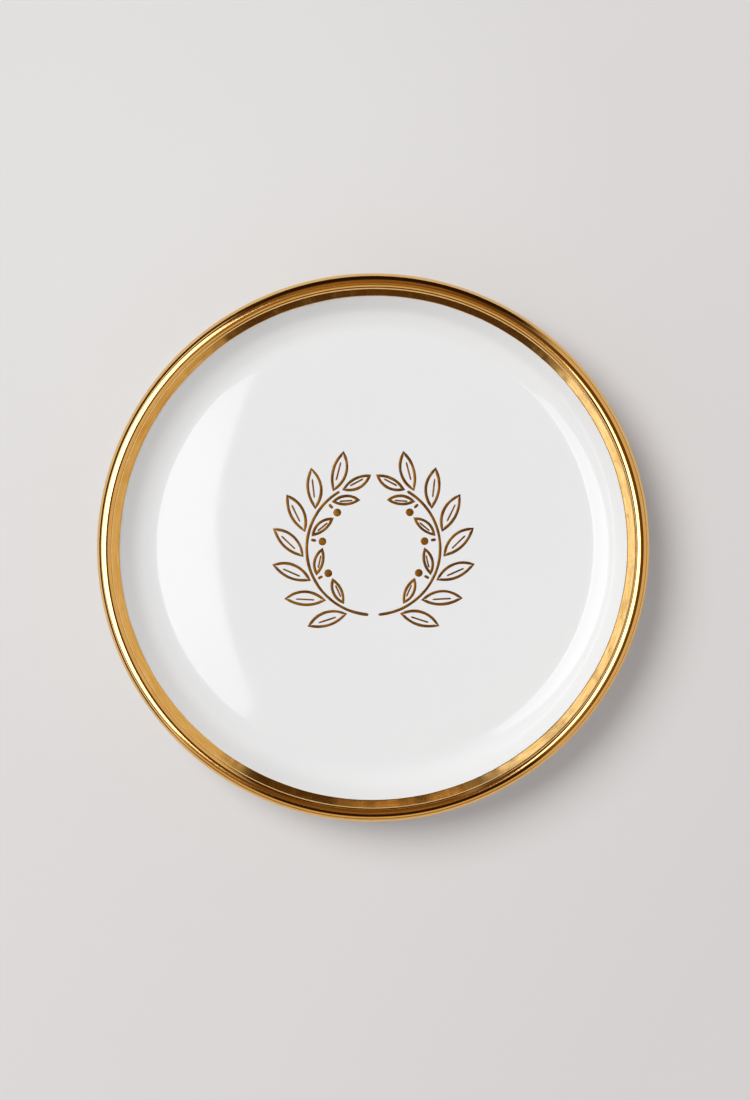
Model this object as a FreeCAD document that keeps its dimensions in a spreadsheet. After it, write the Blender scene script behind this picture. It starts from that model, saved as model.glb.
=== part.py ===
# Ring dish: a small round porcelain dish with a gilded lip and a gold print on its floor.
# Millimetres. The dish stands on its foot ring at z = 0, its axis is Z, and the top of the print faces +Y.
import FreeCAD, Part
import Sketcher
import math
import os

# Every driving size of the dish: name, value, what it measures.
SIZES = (
    ("dish_diameter", 110.0, "across the lip, over the gilding"),
    ("dish_height", 12.0, "table to top of the lip, over the gilding"),
    ("lip_thickness", 3.4, "diameter of the full-round lip, over the gilding"),
    ("wall_slope", 39.0, "rise of the straight upper wall, degrees from level"),
    ("wall_fillet", 8.5, "inner curve between floor and wall"),
    ("back_fillet", 12.0, "outer curve between underside and wall"),
    ("floor_thickness", 4.2, "porcelain under the inner floor"),
    ("foot_diameter", 74.0, "outside of the foot ring at the table"),
    ("foot_width", 3.4, "foot ring at the table, before its edges are broken"),
    ("foot_height", 2.4, "table to the flat underside"),
    ("foot_draft", 12.0, "lean of the foot ring's sides, degrees"),
    ("foot_chamfer", 0.5, "broken lower edges of the foot ring"),
    ("foot_flare", 0.8, "sloped corner where the foot ring meets the underside"),
    ("gilt_thickness", 0.15, "gold film on the lip and on the band"),
    ("band_width", 2.35, "gilt band, measured down the inner wall"),
    ("band_margin", 0.5, "straight wall that is left below the gilt band, at least"),
    ("print_thickness", 0.12, "gold print on the floor"),
    ("print_stroke", 0.55, "pen width of the print"),
    ("wreath_radius", 13.4, "stems of the wreath, from the dish axis"),
    ("stem_foot_gap", 1.85, "between the lower ends of the two stems"),
    ("stem_gap", 0.45, "bare floor between a stem, a leaf, a stalk and a berry"),
    ("row_margin", 3.0, "stem above the last leaf of a row, at least, degrees"),
    ("outer_leaf_first", -68.0, "first leaf outside each stem, degrees from +X"),
    ("outer_leaf_pitch", 20.5, "from outer leaf to outer leaf, degrees"),
    ("outer_leaf_lean", 40.0, "outer leaf away from the stem, degrees"),
    ("outer_leaf_length", 36.0, "outer leaf, base to point, as degrees of the stem's circle"),
    ("inner_leaf_first", -62.0, "first leaf inside each stem, degrees from +X"),
    ("inner_leaf_lean", 38.0, "inner leaf away from the stem, degrees"),
    ("inner_leaf_length", 24.8, "inner leaf, base to point, as degrees of the stem's circle"),
    ("tip_leaf_length", 28.2, "leaf that ends each stem, as degrees of the stem's circle"),
    ("tip_gap", 1.0, "between the points of the two leaves that end the stems"),
    ("leaf_full_side", 0.22, "bulge of a leaf's full side, share of its length"),
    ("leaf_lean_side", 0.16, "bulge of a leaf's other side, share of its length"),
    ("berry_diameter", 6.8, "berry, as degrees of the stem's circle"),
    ("stalk_length", 4.7, "stalk of a berry, as degrees of the stem's circle"),
)

doc = FreeCAD.newDocument("ring_dish")
sheet = doc.addObject("Spreadsheet::Sheet", "Sizes")
size = {}
for row, (alias, value, meaning) in enumerate(SIZES, start=1):
    sheet.set(f"A{row}", alias)
    sheet.set(f"B{row}", str(value))
    sheet.set(f"C{row}", meaning)
    sheet.setAlias(f"B{row}", alias)
    size[alias] = value
doc.recompute()

# Expressions that several sketches share.
FLOOR_LEVEL = "Sizes.foot_height + Sizes.floor_thickness"
LIP_RADIUS = "Sizes.lip_thickness / 2 - Sizes.gilt_thickness"
LIP_CENTRE_X = "Sizes.dish_diameter / 2 - Sizes.lip_thickness / 2"
LIP_CENTRE_Z = "Sizes.dish_height - Sizes.lip_thickness / 2"
SLOPE = "Sizes.wall_slope * 1 deg"

# Where the sketches start: the same places worked out in numbers.
floor_level = size["foot_height"] + size["floor_thickness"]
gilt = size["gilt_thickness"]
lip_radius = size["lip_thickness"] / 2 - gilt
lip_x = size["dish_diameter"] / 2 - size["lip_thickness"] / 2
lip_z = size["dish_height"] - size["lip_thickness"] / 2
slope = math.radians(size["wall_slope"])

# Names for the sketcher's numbers: its own origin and axes, and the points of a line or arc.
H_AXIS, V_AXIS = range(-1, -3, -1)
ORIGIN = H_AXIS
START, END, CENTRE = range(1, 4)
DOWN = -math.pi / 2
UP = math.pi / 2


def origin_item(body, role):
    """The plane or axis of the body's own origin that has this role."""
    for item in body.Origin.OriginFeatures:
        if item.Role == role:
            return item
    raise RuntimeError("no origin item " + role)


def new_body(label):
    """An empty body; its label names the piece."""
    body = doc.addObject("PartDesign::Body", label)
    body.Label = label
    return body


def new_sketch(body, name, role):
    """A sketch on one plane of the body's own origin."""
    sketch = body.newObject("Sketcher::SketchObject", name)
    sketch.AttachmentSupport = (origin_item(body, role), [""])
    sketch.MapMode = "FlatFace"
    return sketch


def add_line(sketch, start, end, construction=False):
    """A straight edge between two (x, y) points."""
    edge = Part.LineSegment(FreeCAD.Vector(*start, 0), FreeCAD.Vector(*end, 0))
    return sketch.addGeometry(edge, construction)


def add_arc(sketch, centre, radius, start_angle, end_angle, construction=False):
    """An arc that runs anticlockwise from start_angle to end_angle, in radians."""
    circle = Part.Circle(FreeCAD.Vector(*centre, 0), FreeCAD.Vector(0, 0, 1), radius)
    return sketch.addGeometry(Part.ArcOfCircle(circle, start_angle, end_angle), construction)


def rule(sketch, *terms):
    """A geometric constraint without a size."""
    sketch.addConstraint(Sketcher.Constraint(*terms))


def fix(sketch, name, expression, *terms):
    """A dimension that follows an expression of the sheet; the last term is its starting value."""
    index = sketch.addConstraint(Sketcher.Constraint(*terms))
    sketch.renameConstraint(index, name)
    sketch.setExpression("Constraints." + name, expression)


def revolve(body, sketch):
    """The sketch turned once round the dish axis."""
    turned = body.newObject("PartDesign::Revolution", sketch.Name + "_turned")
    turned.Profile = sketch
    turned.ReferenceAxis = (sketch, ["V_Axis"])
    turned.Angle = 360
    doc.recompute()
    return turned


def place_lip_centre(sketch, arc):
    """Puts an arc's centre where the lip's round section has its own."""
    fix(sketch, "lip_centre_x", LIP_CENTRE_X, "DistanceX", ORIGIN, START, arc, CENTRE, lip_x)
    fix(sketch, "lip_centre_z", LIP_CENTRE_Z, "DistanceY", ORIGIN, START, arc, CENTRE, lip_z)


def lip_arc(sketch, radius):
    """Half a circle round the lip's centre, from its outer to its inner tangent point."""
    return add_arc(sketch, (lip_x, lip_z), radius, slope + DOWN, slope + UP)


def on_circle(centre, radius, angle):
    """The point of a circle at an angle in radians."""
    return centre[0] + radius * math.cos(angle), centre[1] + radius * math.sin(angle)


def radial_caps(sketch, centre, inner, outer, radii, angles):
    """Closes the gap between two concentric arcs with a radial line at each end."""
    caps = []
    for point, angle in zip((START, END), angles):
        cap = add_line(sketch, *[on_circle(centre, radius, angle) for radius in radii])
        rule(sketch, "Coincident", cap, START, inner, point)
        rule(sketch, "Coincident", cap, END, outer, point)
        rule(sketch, "PointOnObject", inner, CENTRE, cap)
        caps.append(cap)
    return caps


# Dish body: floor, curved and straight wall, full-round lip and underside in one section.
dish = new_body("dish_body")
section = new_sketch(dish, "dish_section", "XZ_Plane")
inner_tangent = on_circle((lip_x, lip_z), lip_radius, slope + UP)
outer_tangent = on_circle((lip_x, lip_z), lip_radius, slope + DOWN)


def wall_side(tangent, level, radius):
    """One side of the section: a level line, a curve and a straight slope that ends at the lip."""
    corner = tangent[0] - (tangent[1] - level) / math.tan(slope)
    start = corner - radius * math.tan(slope / 2)
    curve_end = (start + radius * math.sin(slope), level + radius * (1 - math.cos(slope)))
    flat = add_line(section, (0, level), (start, level))
    curve = add_arc(section, (start, level + radius), radius, DOWN, DOWN + slope)
    straight = add_line(section, curve_end, tangent)
    rule(section, "Horizontal", flat)
    rule(section, "PointOnObject", flat, START, V_AXIS)
    rule(section, "Tangent", flat, END, curve, START)
    rule(section, "Tangent", curve, END, straight, START)
    return flat, curve, straight


# The inner curve stops short of the gilt band, which lies on the straight wall.
wall_length = (inner_tangent[1] - floor_level) / math.sin(slope)
curve_room = (wall_length - size["band_width"] - size["band_margin"]) / math.tan(slope / 2)
wall_fillet = min(size["wall_fillet"], curve_room)
WALL_RISE = f"({LIP_CENTRE_Z} + ({LIP_RADIUS}) * cos({SLOPE}) - ({FLOOR_LEVEL}))"
CURVE_ROOM = f"({WALL_RISE} / sin({SLOPE}) - Sizes.band_width - Sizes.band_margin) / tan({SLOPE} / 2)"
floor_edge, wall_curve, wall_edge = wall_side(inner_tangent, floor_level, wall_fillet)
base_edge, back_curve, back_edge = wall_side(outer_tangent, size["foot_height"], size["back_fillet"])
lip_edge = lip_arc(section, lip_radius)
axis_edge = add_line(section, (0, size["foot_height"]), (0, floor_level))
rule(section, "Tangent", wall_edge, END, lip_edge, END)
rule(section, "Tangent", back_edge, END, lip_edge, START)
rule(section, "Parallel", wall_edge, back_edge)
rule(section, "Coincident", base_edge, START, axis_edge, START)
rule(section, "Coincident", axis_edge, END, floor_edge, START)
fix(section, "floor_z", FLOOR_LEVEL, "DistanceY", ORIGIN, START, floor_edge, START, floor_level)
fix(section, "base_z", "Sizes.foot_height", "DistanceY", ORIGIN, START, base_edge, START, size["foot_height"])
fix(section, "wall_r", f"min(Sizes.wall_fillet; {CURVE_ROOM})", "Radius", wall_curve, wall_fillet)
fix(section, "back_r", "Sizes.back_fillet", "Radius", back_curve, size["back_fillet"])
fix(section, "slope", SLOPE, "Angle", wall_edge, slope)
place_lip_centre(section, lip_edge)
fix(section, "lip_r", LIP_RADIUS, "Radius", lip_edge, lip_radius)
revolve(dish, section)

# Foot ring: broken lower edges, leaning sides and a flare to the underside; its top is inside the floor.
foot = new_sketch(dish, "foot_section", "XZ_Plane")
SIDE_HEIGHT = "(Sizes.foot_height - Sizes.foot_chamfer - Sizes.foot_flare)"
chamfer = size["foot_chamfer"]
flare = size["foot_flare"]
side_height = size["foot_height"] - chamfer - flare
side_lean = side_height * math.tan(math.radians(size["foot_draft"]))
FOOT_STEPS = (
    ("chamfer", chamfer, chamfer, "Sizes.foot_chamfer", "Sizes.foot_chamfer"),
    ("side", side_lean, side_height, SIDE_HEIGHT + " * tan(Sizes.foot_draft * 1 deg)", SIDE_HEIGHT),
    ("flare", flare, flare, "Sizes.foot_flare", "Sizes.foot_flare"),
)
ground_out = size["foot_diameter"] / 2 - chamfer
ground_in = size["foot_diameter"] / 2 - size["foot_width"] + chamfer
post_height = size["floor_thickness"] / 2
ground_edge = add_line(foot, (ground_in, 0), (ground_out, 0))
rule(foot, "PointOnObject", ground_edge, START, H_AXIS)
rule(foot, "PointOnObject", ground_edge, END, H_AXIS)
fix(foot, "ground_r", "Sizes.foot_diameter / 2 - Sizes.foot_chamfer",
    "DistanceX", ORIGIN, START, ground_edge, END, ground_out)
fix(foot, "ground_w", "Sizes.foot_width - 2 * Sizes.foot_chamfer",
    "DistanceX", ground_edge, START, ground_edge, END, ground_out - ground_in)
posts = []
for way, x, ground_point in ((1, ground_out, END), (-1, ground_in, START)):
    tag = "_out" if way > 0 else "_in"
    z = 0
    below, below_point = ground_edge, ground_point
    for name, out, rise, out_expression, rise_expression in FOOT_STEPS:
        edge = add_line(foot, (x, z), (x + way * out, z + rise))
        rule(foot, "Coincident", below, below_point, edge, START)
        run = (edge, START, edge, END) if way > 0 else (edge, END, edge, START)
        fix(foot, name + tag + "_x", out_expression, "DistanceX", *run, out)
        fix(foot, name + tag + "_z", rise_expression, "DistanceY", edge, START, edge, END, rise)
        x = x + way * out
        z = z + rise
        below, below_point = edge, END
    post = add_line(foot, (x, z), (x, z + post_height))
    rule(foot, "Coincident", below, below_point, post, START)
    rule(foot, "Vertical", post)
    posts.append(post)
outer_post, inner_post = posts
fix(foot, "post_z", "Sizes.floor_thickness / 2", "DistanceY", outer_post, START, outer_post, END, post_height)
rule(foot, "Equal", outer_post, inner_post)
lid_ends = [(foot.Geometry[post].EndPoint.x, foot.Geometry[post].EndPoint.y) for post in posts]
foot_lid = add_line(foot, *lid_ends)
rule(foot, "Coincident", outer_post, END, foot_lid, START)
rule(foot, "Coincident", inner_post, END, foot_lid, END)
revolve(dish, foot)

# Gilt lip: a gold film over the round of the lip, from its inner to its outer tangent point.
gilt_lip = new_body("gilt_lip")
film = new_sketch(gilt_lip, "lip_film", "XZ_Plane")
under = lip_arc(film, lip_radius)
over = lip_arc(film, lip_radius + gilt)
place_lip_centre(film, under)
fix(film, "lip_r", LIP_RADIUS, "Radius", under, lip_radius)
rule(film, "Coincident", over, CENTRE, under, CENTRE)
fix(film, "film_r", "Sizes.lip_thickness / 2", "Radius", over, lip_radius + gilt)
outer_cap, inner_cap = radial_caps(film, (lip_x, lip_z), under, over, (lip_radius, lip_radius + gilt),
                                   (slope + DOWN, slope + UP))
rule(film, "Parallel", outer_cap, inner_cap)
fix(film, "inner_end", SLOPE + " + 90 deg", "Angle", inner_cap, slope + UP)
revolve(gilt_lip, film)

# Gilt band: a gold film on the straight inner wall, from the lip's film downwards.
gilt_band = new_body("gilt_inner_band")
band = new_sketch(gilt_band, "band_film", "XZ_Plane")


def on_band(down, out):
    """A point of the band's section, so far down the wall and so far out from it."""
    x = inner_tangent[0] - down * math.cos(slope) - out * math.sin(slope)
    return x, inner_tangent[1] - down * math.sin(slope) + out * math.cos(slope)


corners = [on_band(0, 0), on_band(0, gilt), on_band(size["band_width"], gilt), on_band(size["band_width"], 0)]
upper_cap, air_side, lower_cap, seat = [
    add_line(band, a, b) for a, b in zip(corners, corners[1:] + corners[:1])
]
loop = (upper_cap, air_side, lower_cap, seat)
for edge, following in zip(loop, loop[1:] + loop[:1]):
    rule(band, "Coincident", edge, END, following, START)
rule(band, "Perpendicular", upper_cap, seat)
rule(band, "Perpendicular", lower_cap, seat)
rule(band, "Parallel", air_side, seat)
normal = add_line(band, (lip_x, lip_z), inner_tangent, True)
rule(band, "Coincident", normal, END, seat, END)
rule(band, "Perpendicular", normal, seat)
fix(band, "lip_centre_x", LIP_CENTRE_X, "DistanceX", ORIGIN, START, normal, START, lip_x)
fix(band, "lip_centre_z", LIP_CENTRE_Z, "DistanceY", ORIGIN, START, normal, START, lip_z)
fix(band, "lip_r", LIP_RADIUS, "Distance", normal, lip_radius)
fix(band, "slope", SLOPE, "Angle", seat, slope)
fix(band, "band_w", "Sizes.band_width", "Distance", seat, size["band_width"])
fix(band, "film_t", "Sizes.gilt_thickness", "Distance", upper_cap, gilt)
revolve(gilt_band, band)


# Gold print: a wreath of two leafy stems, the left one the mirror image of the right one.
def print_sketch(body, name, x="0 mm", y="0 mm", turn="0 deg"):
    """A sketch on the dish floor with its own origin and direction there."""
    sketch = new_sketch(body, name, "XY_Plane")
    sketch.AttachmentOffset = FreeCAD.Placement(FreeCAD.Vector(0, 0, 0), FreeCAD.Rotation(0, 0, 0))
    sketch.setExpression("AttachmentOffset.Base.x", x)
    sketch.setExpression("AttachmentOffset.Base.y", y)
    sketch.setExpression("AttachmentOffset.Base.z", FLOOR_LEVEL)
    sketch.setExpression("AttachmentOffset.Rotation.Angle", turn)
    return sketch


def print_pad(body, sketch):
    """The sketch raised by the thickness of the print."""
    pad = body.newObject("PartDesign::Pad", sketch.Name + "_pad")
    pad.Profile = sketch
    pad.setExpression("Length", "Sizes.print_thickness")
    doc.recompute()
    return pad


def repeat_round(body, original, count, pitch, reverse):
    """Copies of a feature round the dish axis."""
    body.Tip = original
    pattern = body.newObject("PartDesign::PolarPattern", original.Name + "_row")
    pattern.Originals = [original]
    pattern.Axis = (origin_item(body, "Z_Axis"), [""])
    pattern.Mode = "Spacing"
    pattern.Reversed = reverse
    pattern.setExpression("Occurrences", count)
    pattern.setExpression("Offset", f"({pitch}) * 1 deg")
    body.Tip = pattern
    doc.recompute()


def arc_radius(length, bulge):
    """Expression for the radius of an arc with this chord and this height."""
    return f"(({length})^2 / 4 + ({bulge})^2) / (2 * ({bulge}))"


def add_lens(sketch, name, start, length, bulges, starts):
    """Two arcs that meet in points on the X axis; starts holds the numbers to begin from."""
    first, span, heights = starts
    arcs = []
    for side, bulge, height in zip((1, -1), bulges, heights):
        radius = (span ** 2 / 4 + height ** 2) / (2 * height)
        half = math.asin(span / 2 / radius)
        middle = side * UP
        arc = add_arc(sketch, (first + span / 2, side * (height - radius)), radius, middle - half, middle + half)
        tag = name + ("_upper" if side > 0 else "_lower")
        fix(sketch, tag, arc_radius(length, bulge), "Radius", arc, radius)
        arcs.append(arc)
    upper, lower = arcs
    rule(sketch, "Coincident", upper, END, lower, START)
    rule(sketch, "Coincident", upper, START, lower, END)
    rule(sketch, "PointOnObject", upper, END, H_AXIS)
    rule(sketch, "PointOnObject", upper, START, H_AXIS)
    fix(sketch, name + "_start", start, "DistanceX", ORIGIN, START, upper, END, first)
    fix(sketch, name + "_length", length, "DistanceX", upper, END, upper, START, span)
    return arcs


VEIN_START = 0.27
VEIN_LENGTH = 0.46
VEIN_BULGE = 0.3


def along_stem(name):
    """A size that is given as degrees of the stem's circle: its length, and the expression for it."""
    length = math.radians(size[name]) * size["wreath_radius"]
    return length, f"(Sizes.{name} * pi / 180 * Sizes.wreath_radius)"


def add_leaf(sketch, length, long, side):
    """A leaf of this length, with the expression for it: an outline of pen width and a tapered midrib."""
    bulge_names = ["Sizes.leaf_lean_side", "Sizes.leaf_full_side"]
    bulge_shares = [size["leaf_lean_side"], size["leaf_full_side"]]
    if side < 0:
        bulge_names.reverse()
        bulge_shares.reverse()
    heights = [share * length for share in bulge_shares]
    bulges = [f"{name} * {long}" for name in bulge_names]
    outline = add_lens(sketch, "outline", "0 mm", long, bulges, (0, length, heights))
    inside = []
    stroke = size["print_stroke"]
    for arc, bulge, height, direction in zip(outline, bulges, heights, (1, -1)):
        radius = (length ** 2 / 4 + height ** 2) / (2 * height)
        centre = (length / 2, direction * (height - radius))
        half = math.asin(length / 2 / radius) * (1 - 2 * stroke / length)
        inner = add_arc(sketch, centre, radius - stroke, direction * UP - half, direction * UP + half)
        rule(sketch, "Coincident", inner, CENTRE, arc, CENTRE)
        tag = "inside_upper" if direction > 0 else "inside_lower"
        fix(sketch, tag, arc_radius(long, bulge) + " - Sizes.print_stroke", "Radius", inner, radius - stroke)
        inside.append(inner)
    rule(sketch, "Coincident", inside[0], END, inside[1], START)
    rule(sketch, "Coincident", inside[0], START, inside[1], END)
    vein_height = VEIN_BULGE * stroke
    vein_bulge = f"{VEIN_BULGE} * Sizes.print_stroke"
    add_lens(sketch, "vein", f"{VEIN_START} * {long}", f"{VEIN_LENGTH} * {long}", [vein_bulge, vein_bulge],
             (VEIN_START * length, VEIN_LENGTH * length, [vein_height, vein_height]))


def spot(side, radius, angle):
    """Expressions for the x and y of a point on a circle round the dish axis."""
    return f"{side} * ({radius}) * cos(({angle}) * 1 deg)", f"({radius}) * sin(({angle}) * 1 deg)"


def heading(side, angle):
    """Expression for a direction, mirrored for the left stem."""
    turn = f"({angle}) * 1 deg"
    return turn if side > 0 else f"180 deg - {turn}"


# A leaf or stalk stands clear of its stem; the stems end clear of each other below and above.
CLEAR = "(Sizes.print_stroke / 2 + Sizes.stem_gap)"
INNER_BASE = f"(Sizes.wreath_radius - {CLEAR})"
OUTER_BASE = f"(Sizes.wreath_radius + {CLEAR})"
half_stroke = size["print_stroke"] / 2
stem_radius = size["wreath_radius"] - half_stroke
STEM_RADIUS = "(Sizes.wreath_radius - Sizes.print_stroke / 2)"
stem_start = -math.acos(size["stem_foot_gap"] / 2 / stem_radius)
STEM_START = f"(-acos(Sizes.stem_foot_gap / 2 / {STEM_RADIUS}) / 1 deg)"
tip_length, TIP_LENGTH = along_stem("tip_leaf_length")
tip_far = math.hypot(size["wreath_radius"], tip_length)
TIP_FAR = f"sqrt(Sizes.wreath_radius^2 + {TIP_LENGTH}^2)"
tip_base = math.acos(size["tip_gap"] / 2 / tip_far) - math.atan(tip_length / size["wreath_radius"])
TIP_BASE = f"((acos(Sizes.tip_gap / 2 / {TIP_FAR}) - atan({TIP_LENGTH} / Sizes.wreath_radius)) / 1 deg)"
stem_end = tip_base - size["stem_gap"] / size["wreath_radius"]
STEM_END = f"({TIP_BASE} - Sizes.stem_gap / Sizes.wreath_radius * 180 / pi)"

# Inside each stem a berry stands clear of a leaf's point, and the next leaf clear of the berry's stalk.
leaf_in, LEAF_IN = along_stem("inner_leaf_length")
stalk, STALK = along_stem("stalk_length")
berry_size, BERRY = along_stem("berry_diameter")
LEAN_IN = "Sizes.inner_leaf_lean * 1 deg"
LEAF_REACH = f"(atan({LEAF_IN} * cos({LEAN_IN}) / ({INNER_BASE} - {LEAF_IN} * sin({LEAN_IN}))) / 1 deg)"
BERRY_CIRCLE = f"({INNER_BASE} - {STALK} - Sizes.stem_gap - {BERRY} / 2)"
BERRY_TURN = f"({LEAF_REACH} + ({BERRY} / 2 + Sizes.stem_gap) / {BERRY_CIRCLE} * 180 / pi)"
INNER_PITCH = f"({BERRY_TURN} + {CLEAR} / {INNER_BASE} * 180 / pi)"


def steps_in_row(first, pitch):
    """Expression for the whole steps of a row between its first leaf and the end of the stem."""
    return f"floor(({STEM_END} - Sizes.row_margin - Sizes.{first}) / {pitch})"


OUTER_STEPS = steps_in_row("outer_leaf_first", "Sizes.outer_leaf_pitch")
INNER_STEPS = steps_in_row("inner_leaf_first", INNER_PITCH)
for side, name in ((1, "right"), (-1, "left")):
    mirrored = side < 0

    # Stem: an arc of pen width.
    body = new_body("print_stem_" + name)
    stem = print_sketch(body, "stem_" + name)
    ends = [stem_start, stem_end]
    if mirrored:
        ends = [math.pi - ends[1], math.pi - ends[0]]
    radii = [stem_radius, size["wreath_radius"] + half_stroke]
    inner, outer = [add_arc(stem, (0, 0), radius, *ends) for radius in radii]
    for arc in (inner, outer):
        rule(stem, "Coincident", arc, CENTRE, ORIGIN, START)
    fix(stem, "inner_r", STEM_RADIUS, "Radius", inner, radii[0])
    fix(stem, "outer_r", "Sizes.wreath_radius + Sizes.print_stroke / 2", "Radius", outer, radii[1])
    radial_caps(stem, (0, 0), inner, outer, radii, ends)
    limits = [("low", START, STEM_START), ("high", END, STEM_END)]
    if mirrored:
        limits = [("low", END, STEM_START), ("high", START, STEM_END)]
    for tag, point, angle in limits:
        x, y = spot(side, STEM_RADIUS, angle)
        at = on_circle((0, 0), radii[0], ends[point - 1])
        fix(stem, tag + "_x", x, "DistanceX", ORIGIN, START, inner, point, at[0])
    print_pad(body, stem)

    # Outer leaves: one leaf, repeated up the outside of the stem.
    body = new_body("print_outer_leaves_" + name)
    x, y = spot(side, OUTER_BASE, "Sizes.outer_leaf_first")
    turn = heading(side, "Sizes.outer_leaf_first + 90 - Sizes.outer_leaf_lean")
    leaf = print_sketch(body, "outer_leaf_" + name, x, y, turn)
    add_leaf(leaf, *along_stem("outer_leaf_length"), side)
    repeat_round(body, print_pad(body, leaf), OUTER_STEPS + " + 1", "Sizes.outer_leaf_pitch", mirrored)

    # Inner leaves: the same leaf, smaller and turned inwards.
    body = new_body("print_inner_leaves_" + name)
    x, y = spot(side, INNER_BASE, "Sizes.inner_leaf_first")
    turn = heading(side, "Sizes.inner_leaf_first + 90 + Sizes.inner_leaf_lean")
    leaf = print_sketch(body, "inner_leaf_" + name, x, y, turn)
    add_leaf(leaf, leaf_in, LEAF_IN, -side)
    repeat_round(body, print_pad(body, leaf), INNER_STEPS + " + 1", INNER_PITCH, mirrored)

    # Tip leaf: it carries the stem's line on, up to its gap to the other stem's tip leaf.
    body = new_body("print_tip_leaf_" + name)
    x, y = spot(side, "Sizes.wreath_radius", TIP_BASE)
    leaf = print_sketch(body, "tip_leaf_" + name, x, y, heading(side, TIP_BASE + " + 90"))
    add_leaf(leaf, tip_length, TIP_LENGTH, side)
    print_pad(body, leaf)

    # Berries: a stalk and a berry, repeated up the inside of the stem between the inner leaves.
    body = new_body("print_berries_" + name)
    berry_first = f"Sizes.inner_leaf_first + {BERRY_TURN}"
    x, y = spot(side, INNER_BASE, berry_first)
    berry = print_sketch(body, "berry_" + name, x, y, heading(side, berry_first + " + 180"))
    stalk_bulge = "Sizes.print_stroke / 2"
    add_lens(berry, "stalk", "0 mm", STALK, [stalk_bulge, stalk_bulge], (0, stalk, [half_stroke, half_stroke]))
    berry_radius = berry_size / 2
    reach = stalk + size["stem_gap"] + berry_radius
    disc = berry.addGeometry(Part.Circle(FreeCAD.Vector(reach, 0, 0), FreeCAD.Vector(0, 0, 1), berry_radius), False)
    rule(berry, "PointOnObject", disc, CENTRE, H_AXIS)
    fix(berry, "berry_r", BERRY + " / 2", "Radius", disc, berry_radius)
    fix(berry, "berry_x", f"{STALK} + Sizes.stem_gap + {BERRY} / 2",
        "DistanceX", ORIGIN, START, disc, CENTRE, reach)
    repeat_round(body, print_pad(body, berry), INNER_STEPS, INNER_PITCH, mirrored)

doc.recompute()

# Check every object, then write one file per piece.
for item in doc.Objects:
    if "Invalid" in item.State or "Error" in item.State:
        raise RuntimeError("bad state in " + item.Name + ": " + str(item.State))
os.makedirs("parts", exist_ok=True)
pieces = [item for item in doc.Objects if item.TypeId == "PartDesign::Body"]
for piece in pieces:
    shape = piece.Shape
    if shape.isNull() or not shape.isValid():
        raise RuntimeError("bad shape in " + piece.Label)
    shape.exportStep("parts/" + piece.Label + ".step")
    box = shape.optimalBoundingBox()
    print(piece.Label, "solids", len(shape.Solids), "volume", round(shape.Volume, 2),
          "z", round(box.ZMin, 3), round(box.ZMax, 3), "x", round(box.XMin, 2), round(box.XMax, 2))
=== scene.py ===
# Ring dish: glazed porcelain with a gilded lip, a gilt inner band and a gold wreath on the floor.
import bmesh
import bpy
import math
from mathutils import Matrix, Vector, noise


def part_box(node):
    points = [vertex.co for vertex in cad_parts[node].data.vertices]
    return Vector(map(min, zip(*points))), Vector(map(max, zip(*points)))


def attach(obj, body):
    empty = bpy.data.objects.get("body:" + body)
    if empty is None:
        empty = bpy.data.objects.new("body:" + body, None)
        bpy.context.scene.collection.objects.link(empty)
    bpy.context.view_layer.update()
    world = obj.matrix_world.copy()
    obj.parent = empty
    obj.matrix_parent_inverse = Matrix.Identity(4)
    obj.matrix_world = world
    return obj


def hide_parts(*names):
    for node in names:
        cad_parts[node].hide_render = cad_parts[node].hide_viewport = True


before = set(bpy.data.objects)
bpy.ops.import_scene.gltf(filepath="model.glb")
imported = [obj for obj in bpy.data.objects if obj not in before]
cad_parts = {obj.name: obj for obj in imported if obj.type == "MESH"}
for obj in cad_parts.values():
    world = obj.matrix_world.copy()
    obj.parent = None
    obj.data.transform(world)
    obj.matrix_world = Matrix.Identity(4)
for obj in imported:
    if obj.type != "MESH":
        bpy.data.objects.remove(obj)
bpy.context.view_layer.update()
scene = bpy.context.scene
scene.view_settings.view_transform = "Standard"
MM = 0.001

# Sizes of the dish in metres: what the CAD pieces show is read from their boxes, the rest is named here.
RIM_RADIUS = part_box("gilt_lip")[1].x
RIM_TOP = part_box("gilt_lip")[1].z
BAND_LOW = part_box("gilt_inner_band")[0].z
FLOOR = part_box("print_stem_right")[0].z
PRINT_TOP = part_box("print_stem_right")[1].z
LIP_RADIUS = 1.7 * MM
GILT = 0.15 * MM
WALL_SLOPE = math.radians(39.0)
WALL_FILLET = 8.5 * MM
BACK_FILLET = 12.0 * MM
BASE = 2.4 * MM
FOOT_RADIUS = 37.0 * MM
FOOT_WIDTH = 3.4 * MM
FOOT_DRAFT = math.radians(12.0)
FOOT_EDGE = 0.5 * MM
FOOT_FLARE = 0.8 * MM

# The centre of the lip's round section, and the angles of down and up in the (r, z) plane.
LIP_X = RIM_RADIUS - LIP_RADIUS
LIP_Z = RIM_TOP - LIP_RADIUS
DOWN = -math.pi / 2
UP = math.pi / 2

# How near two points count as one, and the share of a seed that shifts the noise along Y.
SAME_POINT = 1e-7
SEED_SKEW = 0.37


def on_circle(centre, radius, angle):
    """The point of a circle at an angle in radians."""
    return centre[0] + radius * math.cos(angle), centre[1] + radius * math.sin(angle)


def arc(centre, radius, start, end, count):
    """Points along an arc, both ends included."""
    return [on_circle(centre, radius, start + (end - start) * i / count) for i in range(count + 1)]


def line(start, end, count):
    """Points along a straight line, both ends included."""
    return [
        (start[0] + (end[0] - start[0]) * i / count, start[1] + (end[1] - start[1]) * i / count)
        for i in range(count + 1)
    ]


def joined(*runs):
    """One list of points from several runs, with the points where they meet kept once."""
    points = []
    for run in runs:
        for point in run:
            if not points or math.dist(point, points[-1]) > SAME_POINT:
                points.append(point)
    return points


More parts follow.
